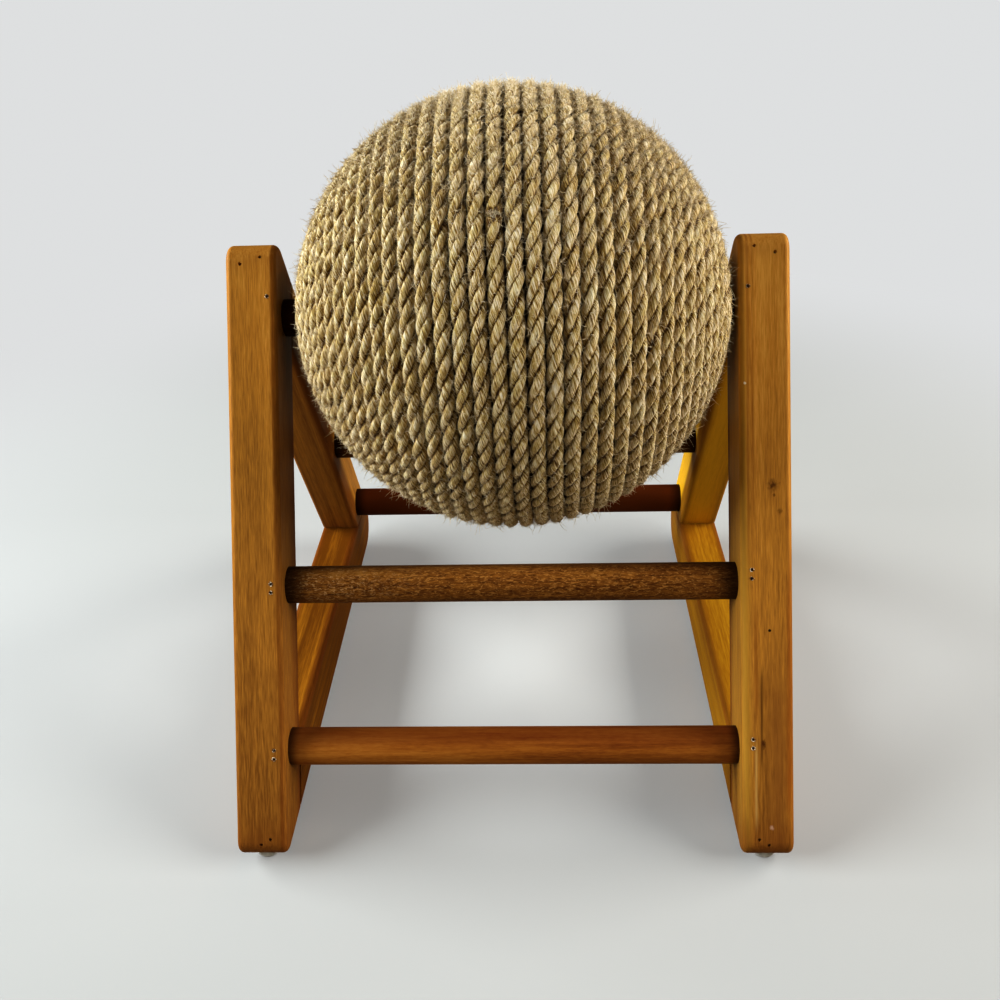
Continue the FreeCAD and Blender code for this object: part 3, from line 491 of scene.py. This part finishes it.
poleToSplice = (rope["splicePolar"] - rope["firstAngle"]) * rope["line"]
rope["turns"] = (poleToPole - 2 * rope["leadIn"]) / rope["pitch"]
rope["spliceTurn"] = (poleToSplice - rope["leadIn"]) / rope["pitch"]


def polarAngle(turn):
    fromStart = max(0, 1 - turn)
    fromEnd = max(0, 1 - (rope["turns"] - turn))
    shift = rope["leadIn"] * (1 - fromStart ** 2 + fromEnd ** 2)
    return rope["firstAngle"] + (rope["pitch"] * turn + shift) / rope["line"]


def spiralPoint(turn, reach):
    polar = polarAngle(turn)
    around = math.radians(rope["spliceAngle"]) + 2 * math.pi * (turn - rope["spliceTurn"])
    ring = math.sin(polar)
    outward = Vector((-math.cos(polar), ring * math.cos(around), ring * math.sin(around)))
    polar += rope["wander"] / rope["line"] * noise.noise(outward * rope["wanderScale"]) * ring
    line = rope["line"] - rope["bedding"]
    radius = line * math.sin(polar) * reach
    return Vector((-line * math.cos(polar), radius * math.cos(around), radius * math.sin(around)))


# control points stand a little outside the spiral, because the spline cuts inside them:
# on a circle it reaches cos(step / 2) at its joints and 0.75 + 0.25 cos(step) between them
def ropeRoute(poleTurn, inward):
    step = 2 * math.pi / rope["pointsPerTurn"]
    reach = 2 / (0.75 + 0.25 * math.cos(step) + math.cos(step / 2))
    count = math.ceil(abs(rope["spliceTurn"] - poleTurn) * rope["pointsPerTurn"])
    halfGap = rope["spliceGap"] / 2 / (2 * math.pi * rope["line"])
    last = rope["spliceTurn"] - math.copysign(halfGap, rope["spliceTurn"] - poleTurn)
    controls = [spiralPoint(poleTurn + (last - poleTurn) * n / count, reach) for n in range(count)]
    controls.append(spiralPoint(last, 1))
    away = (controls[0] - controls[1]).normalized()
    corner = controls[0] + away * rope["bendRadius"]
    tail = corner + Vector((inward, 0, 0)) * (rope["bendRadius"] + rope["thickness"])
    return [ballCentre + point for point in [tail, corner] + controls]


def newCurve(name):
    curve = bpy.data.curves.new(name, "CURVE")
    curve.dimensions = "3D"
    return curve


def addSpline(curve, kind, places):
    spline = curve.splines.new(kind)
    spline.points.add(len(places) - 1)
    for point, place in zip(spline.points, places):
        point.co = (*place, 1)
    return spline


# the finished mesh of a curve that is then thrown away
def meshFrom(curve):
    holder = bpy.data.objects.new(curve.name, curve)
    scene.collection.objects.link(holder)
    finished = holder.evaluated_get(bpy.context.evaluated_depsgraph_get())
    mesh = bpy.data.meshes.new_from_object(finished)
    bpy.data.objects.remove(holder)
    bpy.data.curves.remove(curve)
    return mesh


def splineLine(name, controls):
    curve = newCurve(name)
    curve.resolution_u = rope["stepsPerPoint"]
    spline = addSpline(curve, "NURBS", controls)
    spline.order_u = 3
    spline.use_endpoint_u = True
    return meshFrom(curve)


# evenly spaced stations with a frame that doesn't twist: place, heading, side and length so far
def stations(line, step):
    places = [vertex.co.copy() for vertex in line.vertices]
    lengths = [0.0]
    for before, after in zip(places, places[1:]):
        lengths.append(lengths[-1] + (after - before).length)
    count = int(lengths[-1] / step)
    spots = []
    at = 0
    for n in range(count + 1):
        target = lengths[-1] * n / count
        while at < len(places) - 2 and lengths[at + 1] < target:
            at += 1
        share = (target - lengths[at]) / max(lengths[at + 1] - lengths[at], 1e-9)
        spots.append((places[at].lerp(places[at + 1], share), target))
    result = []
    side = Vector((0, 0, 1))
    for n, (spot, length) in enumerate(spots):
        heading = (spots[min(n + 1, count)][0] - spots[max(n - 1, 0)][0]).normalized()
        side = (side - heading * side.dot(heading)).normalized()
        result.append((spot, heading, side, length))
    return result


def strandPlace(stop, phase):
    spot, heading, side, length = stop
    wobble = noise.noise(Vector((length * rope["wobbleScale"], phase, 0)))
    turn = phase + 2 * math.pi * length / rope["lay"] + rope["wobble"] * wobble
    out = side * math.cos(turn) + heading.cross(side) * math.sin(turn)
    return spot + out * rope["layRadius"]


def strandMesh(name, route, phase):
    curve = newCurve(name)
    curve.bevel_depth = rope["strandRadius"]
    curve.bevel_resolution = rope["strandRoundness"]
    curve.use_fill_caps = True
    spline = addSpline(curve, "POLY", [strandPlace(stop, phase) for stop in route])
    for point, (spot, heading, side, length) in zip(spline.points, route):
        lump = noise.noise(Vector((length * rope["lumpScale"], phase, rope["lumpSeed"])))
        point.radius = 1 + rope["lumps"] * lump
    mesh = meshFrom(curve)
    # the map runs along the strand, in metres, and round it
    layer = mesh.uv_layers[0].data
    values = [0.0] * (2 * len(layer))
    layer.foreach_get("uv", values)
    values[0::2] = [value * route[-1][3] for value in values[0::2]]
    layer.foreach_set("uv", values)
    # each ring of vertices keeps how far it stands from the rope's middle
    ringSize = len(mesh.vertices) // len(route)
    height = mesh.attributes.new("height", "FLOAT", "POINT")
    for n, vertex in enumerate(mesh.vertices[:ringSize * len(route)]):
        spot, heading, side, length = route[n // ringSize]
        height.data[n].value = (vertex.co - spot).cross(heading).length
    return mesh


sisal = dict(
    tones=[(0.15, (0.125, 0.05, 0.005)), (0.4, (0.42, 0.264, 0.06)),
           (0.6, (0.67, 0.51, 0.262)), (0.85, (0.83, 0.725, 0.565))],
    twist=72,                # turns of the yarn per metre of strand
    fibre=(1500, 1500, 230),
    yarn=(700, 700, 110),
    patch=75,
    mix=(2.2, 0.6, 0.4),     # shares of fibre, yarn and patch
    grooves=(0.0022, 0.0035),    # from the rope's middle to the foot and the brow of the grooves, over which their painted shade fades
    # painted shade at the foot of the grooves, and a little lighter tone at the brow
    grooveShadeTone=(-0.35, 0.06),
    rubbedGrooveShade=0.35,       # what is left of the grooves' painted shade on the rubbed side, under the fibres
    tint=130,
    tintRange=(0.4, 0.7),
    tintDepth=0.45,
    tintColour=(0.95, 1.0, 0.8),
    fibreRelief=0.8,
    relief=1.0,
    reliefDepth=0.0009,
    sockets={"Roughness": 0.9, "Specular IOR Level": 0.1, "Sheen Weight": 0.4, "Sheen Roughness": 0.5,
             "Sheen Tint": (1, 0.97, 0.92, 1)},
)


def ropeMaterial(name):
    material, tree, shader = newMaterial(name)
    place = objectPlace(tree)
    along, around = splitAxes(tree, addNode(tree, "UVMap", uv_map="UVMap").outputs[0])[:2]
    # the map is rolled up into a twisted strand, so the yarn has no seam
    angle = mathNode(tree, "MULTIPLY_ADD", along, sisal["twist"], around)
    angle = mathNode(tree, "MULTIPLY", angle, 2 * math.pi)
    ringX = mathNode(tree, "MULTIPLY", mathNode(tree, "COSINE", angle), rope["strandRadius"])
    ringY = mathNode(tree, "MULTIPLY", mathNode(tree, "SINE", angle), rope["strandRadius"])
    rolled = addNode(tree, "CombineXYZ", {0: ringX, 1: ringY, 2: along}).outputs[0]
    fibre = noiseNode(tree, rolled, sisal["fibre"], roughness=0.65)
    yarn = noiseNode(tree, rolled, sisal["yarn"], detail=2.0, roughness=0.5)
    patch = noiseNode(tree, place, sisal["patch"])
    tone = 0.5 - sum(sisal["mix"]) / 2
    for layer, share in zip((fibre, yarn, patch), sisal["mix"]):
        tone = mathNode(tree, "MULTIPLY_ADD", layer, share, tone)
    outward = vectorNode(tree, "NORMALIZE", vectorNode(tree, "SUBTRACT", place, ballCentre))
    # painted shade in the grooves between strands, weaker on the rubbed side
    rubbed = vectorNode(tree, "DOT_PRODUCT", outward, rope["rubbed"]["facing"])
    depth = remap(tree, rubbed, *rope["rubbed"]["least"], 1.0, sisal["rubbedGrooveShade"])
    height = addNode(tree, "Attribute", attribute_name="height").outputs["Fac"]
    paintedGrooveShade = remap(tree, height, *sisal["grooves"], *sisal["grooveShadeTone"])
    tone = mathNode(tree, "ADD", tone, mathNode(tree, "MULTIPLY", paintedGrooveShade, depth))
    colour = ramp(tree, tone, sisal["tones"])
    tint = noiseNode(tree, place, sisal["tint"], detail=2.0, roughness=0.5)
    tint = remap(tree, tint, *sisal["tintRange"], 0.0, sisal["tintDepth"])
    colour = mixColour(tree, tint, colour, sisal["tintColour"], "MULTIPLY")
    tree.links.new(colour, shader.inputs["Base Color"])
    setSockets(shader, sisal["sockets"])
    relief = mathNode(tree, "MULTIPLY_ADD", fibre, sisal["fibreRelief"], yarn)
    bump(tree, shader, relief, sisal["relief"], sisal["reliefDepth"])
    return material


def addPiece(name, mesh, material, body):
    mesh.materials.clear()
    mesh.materials.append(material)
    piece = bpy.data.objects.new(name, mesh)
    scene.collection.objects.link(piece)
    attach(piece, body)
    return piece


ropeFibre = ropeMaterial("rope_fibre")
ropeRoutes = {}
for side, poleTurn, inward in (("left", 0, 1), ("right", rope["turns"], -1)):
    line = splineLine(side + "_rope_route", ropeRoute(poleTurn, inward))
    route = stations(line, rope["strandStep"])
    for n in range(rope["strands"]):
        name = f"{side}_rope_strand_{n + 1}"
        mesh = strandMesh(name, route, n * 2 * math.pi / rope["strands"])
        strand = addPiece(name, mesh, ropeFibre, "ball")
        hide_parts(side + "_rope")
    ropeRoutes[side] = route
    print(side, "rope laid:", round(route[-1][3], 2), "m")


# loose fibres

fuzz = dict(
    kinds=dict(
        nap=dict(count=16000, length=(0.0012, 0.0024), points=2, lift=(0.1, 0.6)),
        short=dict(count=11000, length=(0.0012, 0.0032), points=3, lift=(0.1, 0.9)),
        crown=dict(count=9500, length=(0.0015, 0.0038), points=4, lift=(0.2, 0.9)),
        long=dict(count=3400, length=(0.003, 0.0075), points=6, lift=(0.1, 1.0)),
    ),
    thickness=0.00015,
    taper=0.7,
    curl=0.9,
    lean=1.3,                # how far round the rope the roots go, in radians from its outermost line
    root=0.47,               # from the rope's middle, of its thickness
    stray=(0.4, 1),          # across and along the rope
    fray=dict(count=90, root=(0.1, 0.47), back=0.001, spread=(0.2, 0.9), length=(0.0015, 0.004), points=5),
    patch=500,
    tones=[(0.3, (0.44, 0.315, 0.14)), (0.5, (0.64, 0.515, 0.325)), (0.7, (0.82, 0.72, 0.57))],
    sockets={"Roughness": 0.7, "Specular IOR Level": 0.2},
    seed=5,
)


def strayVector(dice):
    return Vector((dice.gauss(0, 1), dice.gauss(0, 1), dice.gauss(0, 1)))


# fibres are three-sided, drawn along a small triangle
def fibreProfile():
    profile = bpy.data.curves.new("fibre_profile", "CURVE")
    turns = [2 * math.pi * n / 3 for n in range(3)]
    corners = [(fuzz["thickness"] * math.cos(turn), fuzz["thickness"] * math.sin(turn), 0) for turn in turns]
    addSpline(profile, "POLY", corners).use_cyclic_u = True
    return bpy.data.objects.new("fibre_profile", profile)


def growFibre(curve, root, aim, length, points, dice):
    spline = curve.splines.new("POLY")
    spline.points.add(points - 1)
    spot = root
    for n, point in enumerate(spline.points):
        point.co = (*spot, 1)
        point.radius = 1 - fuzz["taper"] * n / (points - 1)
        aim = (aim + strayVector(dice) * fuzz["curl"] / points).normalized()
        spot = spot + aim * length / (points - 1)


def growFuzz(curve, route, kind, dice):
    acrossStray, alongStray = fuzz["stray"]
    for n in range(kind["count"]):
        spot, heading, side, length = dice.choice(route)
        outward = (spot - ballCentre).normalized()
        across = heading.cross(outward).normalized()
        lean = dice.uniform(-fuzz["lean"], fuzz["lean"])
        face = outward * math.cos(lean) + across * math.sin(lean)
        root = spot + face * rope["thickness"] * fuzz["root"]
        aim = face * dice.uniform(*kind["lift"])
        aim = aim + across * dice.gauss(0, acrossStray) + heading * dice.gauss(0, alongStray)
        growFibre(curve, root, aim.normalized(), dice.uniform(*kind["length"]), kind["points"], dice)


# the rope's open end at the splice
def growFray(curve, route, dice):
    fray = fuzz["fray"]
    spot, heading, side, length = route[-1]
    for n in range(fray["count"]):
        turn = dice.uniform(0, 2 * math.pi)
        out = side * math.cos(turn) + heading.cross(side) * math.sin(turn)
        root = spot + out * rope["thickness"] * dice.uniform(*fray["root"]) - heading * fray["back"]
        aim = heading + out * dice.uniform(*fray["spread"])
        growFibre(curve, root, aim.normalized(), dice.uniform(*fray["length"]), fray["points"], dice)


def isRubbed(spot, dice):
    outward = (spot - ballCentre).normalized()
    return outward.dot(rope["rubbed"]["facing"]) > dice.uniform(*rope["rubbed"]["least"])


def fuzzMaterial(name):
    material, tree, shader = newMaterial(name)
    patch = noiseNode(tree, objectPlace(tree), fuzz["patch"], detail=1.0, roughness=0.5)
    tree.links.new(ramp(tree, patch, fuzz["tones"]), shader.inputs["Base Color"])
    setSockets(shader, fuzz["sockets"])
    return material


looseFibre = fuzzMaterial("loose_fibre")
dice = random.Random(fuzz["seed"])
profile = fibreProfile()
for side, route in ropeRoutes.items():
    crown = [stop for stop in route if isRubbed(stop[0], dice)]
    for kind, look in fuzz["kinds"].items():
        name = f"{side}_rope_{kind}_fuzz"
        curve = newCurve(name)
        curve.bevel_mode = "OBJECT"
        curve.bevel_object = profile
        curve.use_fill_caps = True
        growFuzz(curve, crown if kind == "crown" else route, look, dice)
        if kind == "long":
            growFray(curve, route, dice)
        addPiece(name, meshFrom(curve), looseFibre, "ball")
bpy.data.objects.remove(profile)
print("fuzz grown")


# splintered wood round the pins' heads

frontFacing = (0, -0.866, 0.5)
rearFacing = (0, 0.866, 0.5)
rims = dict(
    section=[(0.0007, -0.0002), (0.00077, 0.00016), (0.001105, 0.00012), (0.0013, -0.0002)],    # out and up
    steps=11,
    torn=0.00012,            # unevenness of the rims
    headDepth=0.0001,
    weld=1e-6,
    seed=3,
    # a leg whose face the heads lie in, and the way it faces
    heads={"front_rung_pins": ("left_front_leg", frontFacing),
           "axle_pins": ("left_front_leg", frontFacing),
           "rear_rung_pins": ("left_rear_leg", rearFacing)},
)
rimLook = dict(patch=900, grit=4000, tones=[(0.46, (0.2, 0.075, 0.01)), (0.6, (0.8, 0.68, 0.5))],
               roughness=(0.85, 0.7), metal=0.0, relief=0.3)


# the vertices of each loose piece of a shape
def islands(shape):
    waiting = dict.fromkeys(shape.verts)
    while waiting:
        island = [waiting.popitem()[0]]
        for vert in island:
            for edge in vert.link_edges:
                other = edge.other_vert(vert)
                if other in waiting:
                    del waiting[other]
                    island.append(other)
        yield island


# where each pin of the node comes out of the wood
def headSpots(node, leg, facing):
    face = max(vert.co.dot(facing) for vert in nodes[leg].data.vertices)
    shape = bmesh.new()
    shape.from_mesh(nodes[node].data)
    bmesh.ops.remove_doubles(shape, verts=shape.verts, dist=rims["weld"])
    spots = []
    for island in islands(shape):
        top = max(vert.co.dot(facing) for vert in island)
        head = [vert.co for vert in island if vert.co.dot(facing) > top - rims["headDepth"]]
        spots.append(sum(head, Vector()) / len(head) + facing * (face - top))
    shape.free()
    return sorted(spots, key=lambda spot: [round(value, 5) for value in spot])    # the same order each time


def addRim(shape, spot, facing):
    side = Vector((1, 0, 0))
    corners = [shape.verts.new(spot + side * out + facing * up) for out, up in rims["section"]]
    loop = [shape.edges.new((corner, corners[n - 1])) for n, corner in enumerate(corners)]
    bmesh.ops.spin(shape, geom=loop, cent=spot, axis=facing, angle=2 * math.pi,
                   steps=rims["steps"], use_merge=True)


def rimMesh(name):
    shape = bmesh.new()
    for node, (leg, way) in rims["heads"].items():
        facing = Vector(way).normalized()
        for spot in headSpots(node, leg, facing):
            addRim(shape, spot, facing)
    bmesh.ops.remove_doubles(shape, verts=shape.verts, dist=rims["weld"])
    dice = random.Random(rims["seed"])
    for vert in shape.verts:
        vert.co += strayVector(dice) * rims["torn"]
    bmesh.ops.recalc_face_normals(shape, faces=shape.faces)
    mesh = bpy.data.meshes.new(name)
    shape.to_mesh(mesh)
    shape.free()
    return mesh


addPiece("pin_rims", rimMesh("pin_rims"), plainMaterial("torn_wood", rimLook), "stand")
print("pin rims made")


# floor, light and camera

coolWhite = (0.985, 0.995, 1, 1)
sheet = dict(
    size=30.0,
    near=-0.3,
    far=0.6,
    # its own light from front to back, the same far off, and where the one gives way to the other
    glow=[(-0.24, 0.1), (-0.12, 0.2), (0.06, 0.25), (0.2, 0.12), (0.45, 0.05)],
    distant=0.81,
    fade=(0.35, 0.85),
    paper=(0.358, 0.342, 0.318),
    bounce=(0.28, 0.235, 0.16),    # the colour that it throws back on the object
    sockets={"Emission Color": coolWhite, "Roughness": 0.8, "Specular IOR Level": 0.0},
)


def floorMaterial(name):
    material, tree, shader = newMaterial(name)
    place = objectPlace(tree)
    run = sheet["far"] - sheet["near"]
    depth = mathNode(tree, "SUBTRACT", splitAxes(tree, place)[1], sheet["near"])
    stops = [((at - sheet["near"]) / run, (light, light, light)) for at, light in sheet["glow"]]
    glow = ramp(tree, mathNode(tree, "DIVIDE", depth, run), stops)
    glow.node.color_ramp.interpolation = "B_SPLINE"
    far = remap(tree, vectorNode(tree, "LENGTH", place), *sheet["fade"])
    glow = mixColour(tree, far, glow, (sheet["distant"],) * 3)
    paper = mixColour(tree, far, sheet["paper"], (0, 0, 0))
    seen = addNode(tree, "LightPath").outputs["Is Camera Ray"]
    tree.links.new(mathNode(tree, "MULTIPLY", glow, seen), shader.inputs["Emission Strength"])
    tree.links.new(mixColour(tree, seen, sheet["bounce"], paper), shader.inputs["Base Color"])
    setSockets(shader, sheet["sockets"])
    return material


def layFloor():
    shape = bmesh.new()
    bmesh.ops.create_grid(shape, x_segments=1, y_segments=1, size=sheet["size"])
    mesh = bpy.data.meshes.new("floor")
    shape.to_mesh(mesh)
    shape.free()
    mesh.materials.append(floorMaterial("pale_floor"))
    floor = bpy.data.objects.new("floor", mesh)
    scene.collection.objects.link(floor)


studio = dict(
    front=0.165,
    back=0.06,
    turn=(-0.9, 0.1),        # from front to back
    lowTint=(1, 0.87, 0.62),
    highTint=(1, 0.96, 0.88),
    rise=(0.0, 0.9),         # from low to high
    backdrop=0.81,
)


def studioWorld():
    world = bpy.data.worlds.new("studio")
    world.use_nodes = True
    tree = world.node_tree
    tree.nodes.clear()
    heading = splitAxes(tree, addNode(tree, "TexCoord").outputs["Generated"])
    strength = remap(tree, heading[1], *studio["turn"], studio["front"], studio["back"])
    tint = mixColour(tree, remap(tree, heading[2], *studio["rise"]), studio["lowTint"], studio["highTint"])
    light = addNode(tree, "Background", {"Color": tint, "Strength": strength}).outputs[0]
    plain = addNode(tree, "Background", {"Color": coolWhite, "Strength": studio["backdrop"]}).outputs[0]
    seen = addNode(tree, "LightPath").outputs["Is Camera Ray"]
    mixed = addNode(tree, "MixShader", {0: seen, 1: light, 2: plain}).outputs[0]
    addNode(tree, "OutputWorld", {"Surface": mixed})
    return world


panels = {
    "left_panel": dict(place=(-1.7, 0.0, 0.95), size=(2.0, 0.7), power=104, colour=(0.84, 0.93, 1)),
    "right_panel": dict(place=(1.7, 0.0, 1.0), size=(2.0, 0.7), power=73, colour=(0.94, 0.98, 1)),
}


def hangPanel(name, panel):
    lamp = bpy.data.lights.new(name, "AREA")
    lamp.shape = "RECTANGLE"
    lamp.size, lamp.size_y = panel["size"]
    lamp.energy = panel["power"]
    lamp.color = panel["colour"]
    light = bpy.data.objects.new(name, lamp)
    light.visible_camera = False
    place = Vector(panel["place"])
    towardsBall = (ballCentre - place).to_track_quat("-Z", "Y")
    light.matrix_world = Matrix.Translation(place) @ towardsBall.to_matrix().to_4x4()
    scene.collection.objects.link(light)


photoView = dict(place=(0.01623, -0.50449, 0.43792), pitch=31.33, yaw=-2.66, roll=-2.14,
                 lens=35.44, clip=0.01, gamma=0.72)      # the gamma gives the photo's firm contrast


def placeCamera():
    pitch, yaw, roll = (math.radians(photoView[key]) for key in ("pitch", "yaw", "roll"))
    ahead = Vector((math.sin(yaw) * math.cos(pitch), math.cos(yaw) * math.cos(pitch), -math.sin(pitch)))
    right = Vector((math.cos(yaw), -math.sin(yaw), 0))
    up = right.cross(ahead)
    across = right * math.cos(roll) + up * math.sin(roll)
    above = up * math.cos(roll) - right * math.sin(roll)
    lens = bpy.data.cameras.new("photo_camera")
    lens.lens = photoView["lens"]
    lens.clip_start = photoView["clip"]
    camera = bpy.data.objects.new("photo_camera", lens)
    turned = Matrix((across, above, -ahead)).transposed().to_4x4()
    camera.matrix_world = Matrix.Translation(photoView["place"]) @ turned
    scene.collection.objects.link(camera)
    scene.camera = camera


layFloor()
scene.world = studioWorld()
for name, panel in panels.items():
    hangPanel(name, panel)
placeCamera()
scene.view_settings.view_transform = "Standard"
scene.view_settings.gamma = photoView["gamma"]
print("studio ready")
